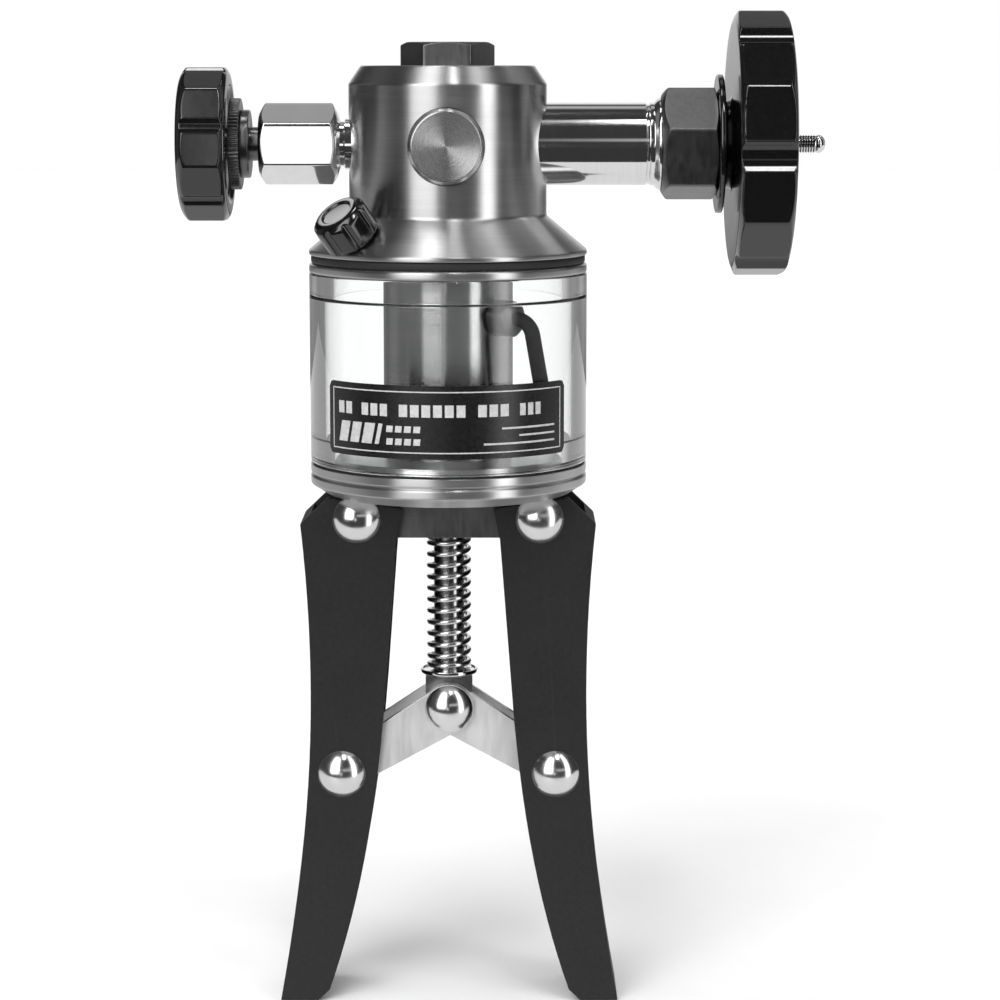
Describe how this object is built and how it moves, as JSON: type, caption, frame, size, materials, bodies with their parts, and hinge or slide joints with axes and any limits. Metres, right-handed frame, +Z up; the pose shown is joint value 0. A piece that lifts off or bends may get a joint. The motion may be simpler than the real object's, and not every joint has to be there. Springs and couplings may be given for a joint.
{
  "type": "hydraulic hand pump",
  "caption": "Scissor-handle hydraulic hand pump with clear reservoir, gauge port, release valve, screw press and squeeze handles.",
  "frame": {"origin": "centre of the gauge port's mouth, on the pump axis", "axes": "+Z up along the gauge port and the plunger, +X towards the screw press, -Y towards the front plug"},
  "size_m": [0.1735, 0.0752, 0.27],
  "materials": {
    "head_steel": "fine-turned stainless steel, satin",
    "dark_steel": "dark milled steel",
    "bright_steel": "polished plated steel",
    "black_plastic": "glossy black moulding",
    "handle_coat": "black textured powder coat",
    "link_zinc": "zinc-plated pressing",
    "spring_steel": "drawn spring wire",
    "clear_acrylic": "clear acrylic tube",
    "seal_rubber": "moulded rubber",
    "label_print": "printed plate",
    "brass": "turned brass",
    "clear_hose": "translucent tubing"
  },
  "bodies": {
    "pump_body": {"gauge_adaptor": "dark_steel", "adaptor_seal": "seal_rubber", "head_block": "head_steel", "front_plug": "bright_steel", "plug_seal": "seal_rubber", "outlet_seat": "brass", "outlet_spring": "spring_steel", "upper_gasket": "seal_rubber", "clamp_ring": "head_steel", "reservoir_tube": "clear_acrylic", "lower_gasket": "seal_rubber", "base_flange": "head_steel", "label_plate": "label_print", "pump_cylinder": "head_steel", "plunger_seal": "seal_rubber", "plunger_guide": "brass", "suction_fitting": "dark_steel", "inlet_spring": "spring_steel", "suction_tube": "clear_hose", "suction_strainer": "brass", "release_bonnet": "bright_steel", "release_stem_seal": "seal_rubber", "press_barrel": "bright_steel", "press_nut": "dark_steel", "dust_disc": "black_plastic", "yoke_block": "dark_steel", "yoke_screws": "dark_steel", "yoke_rivets": "bright_steel", "return_spring": "spring_steel"},
    "filler_seal": {"filler_cap_seal": "seal_rubber"},
    "filler_screw": {"filler_cap": "black_plastic"},
    "outlet_check": {"outlet_ball": "bright_steel"},
    "inlet_check": {"inlet_ball": "bright_steel"},
    "release_check": {"release_ball": "bright_steel"},
    "release_screw": {"release_stem": "bright_steel", "release_collar": "dark_steel", "release_knob": "black_plastic"},
    "press_ram": {"press_piston": "bright_steel", "press_piston_seal": "seal_rubber"},
    "press_screw": {"press_spindle": "bright_steel", "press_knob": "black_plastic"},
    "left_handle": {"handle_left": "handle_coat", "link_rivet_left": "bright_steel"},
    "right_handle": {"handle_right": "handle_coat", "link_rivet_right": "bright_steel"},
    "plunger": {"plunger": "bright_steel", "crosshead": "dark_steel", "centre_rivet": "bright_steel", "spring_washer": "bright_steel"},
    "left_link": {"link_left": "link_zinc"},
    "right_link": {"link_right": "link_zinc"}
  },
  "joints": [
    {"name": "left_handle_pivot", "type": "hinge", "parent": "pump_body", "child": "left_handle", "pos_m": [-0.0247, 0, -0.1271], "axis": [0, -1, 0], "range_deg": [0, 12]},
    {"name": "right_handle_pivot", "type": "hinge", "parent": "pump_body", "child": "right_handle", "pos_m": [0.0247, 0, -0.1271], "axis": [0, 1, 0], "range_deg": [0, 12]},
    {"name": "plunger_slide", "type": "slide", "parent": "pump_body", "child": "plunger", "axis": [0, 0, 1], "range_m": [0, 0.01392], "stiffness_N_per_m": 1200, "springref_m": -0.012, "deforming": ["return_spring"]},
    {"name": "left_link_pivot", "type": "hinge", "parent": "plunger", "child": "left_link", "pos_m": [0, 0, -0.18], "axis": [0, -1, 0], "range_deg": [0, 34.1]},
    {"name": "right_link_pivot", "type": "hinge", "parent": "plunger", "child": "right_link", "pos_m": [0, 0, -0.18], "axis": [0, 1, 0], "range_deg": [0, 34.1]},
    {"name": "release_travel", "type": "slide", "parent": "pump_body", "child": "release_check", "axis": [-1, 0, 0], "range_m": [0, 0.0015]},
    {"name": "release_turn", "type": "hinge", "parent": "release_check", "child": "release_screw", "pos_m": [-0.05, 0, -0.027], "axis": [-1, 0, 0], "range_deg": [0, 540.1]},
    {"name": "press_travel", "type": "slide", "parent": "pump_body", "child": "press_ram", "axis": [1, 0, 0], "range_m": [0, 0.01]},
    {"name": "press_turn", "type": "hinge", "parent": "press_ram", "child": "press_screw", "pos_m": [0.08, 0, -0.027], "axis": [1, 0, 0], "range_deg": [0, 1800.2]},
    {"name": "filler_travel", "type": "slide", "parent": "pump_body", "child": "filler_seal", "axis": [-0.4793, -0.4316, 0.7642], "range_m": [0, 0.006]},
    {"name": "filler_turn", "type": "hinge", "parent": "filler_seal", "child": "filler_screw", "pos_m": [-0.02423, -0.02181, -0.05105], "axis": [-0.4793, -0.4316, 0.7642], "range_deg": [0, 1440.2]},
    {"name": "outlet_check_lift", "type": "slide", "parent": "pump_body", "child": "outlet_check", "axis": [0, 0, 1], "range_m": [0, 0.001], "stiffness_N_per_m": 100, "springref_m": -0.002, "deforming": ["outlet_spring"]},
    {"name": "inlet_check_lift", "type": "slide", "parent": "pump_body", "child": "inlet_check", "axis": [-0.7431, 0.6691, 0], "range_m": [0, 0.0008], "stiffness_N_per_m": 30, "springref_m": -0.001, "deforming": ["inlet_spring"]}
  ],
  "couplings": [
    {"joint": "right_handle_pivot", "follows": "left_handle_pivot", "ratio": 1},
    {"joint": "plunger_slide", "follows": "left_handle_pivot", "m_per_rad": 0.066379},
    {"joint": "left_link_pivot", "follows": "left_handle_pivot", "ratio": 2.8351},
    {"joint": "right_link_pivot", "follows": "left_handle_pivot", "ratio": 2.8351},
    {"joint": "release_turn", "follows": "release_travel", "rad_per_m": 6283.2},
    {"joint": "press_turn", "follows": "press_travel", "rad_per_m": 3141.6},
    {"joint": "filler_turn", "follows": "filler_travel", "rad_per_m": 4188.8}
  ]
}
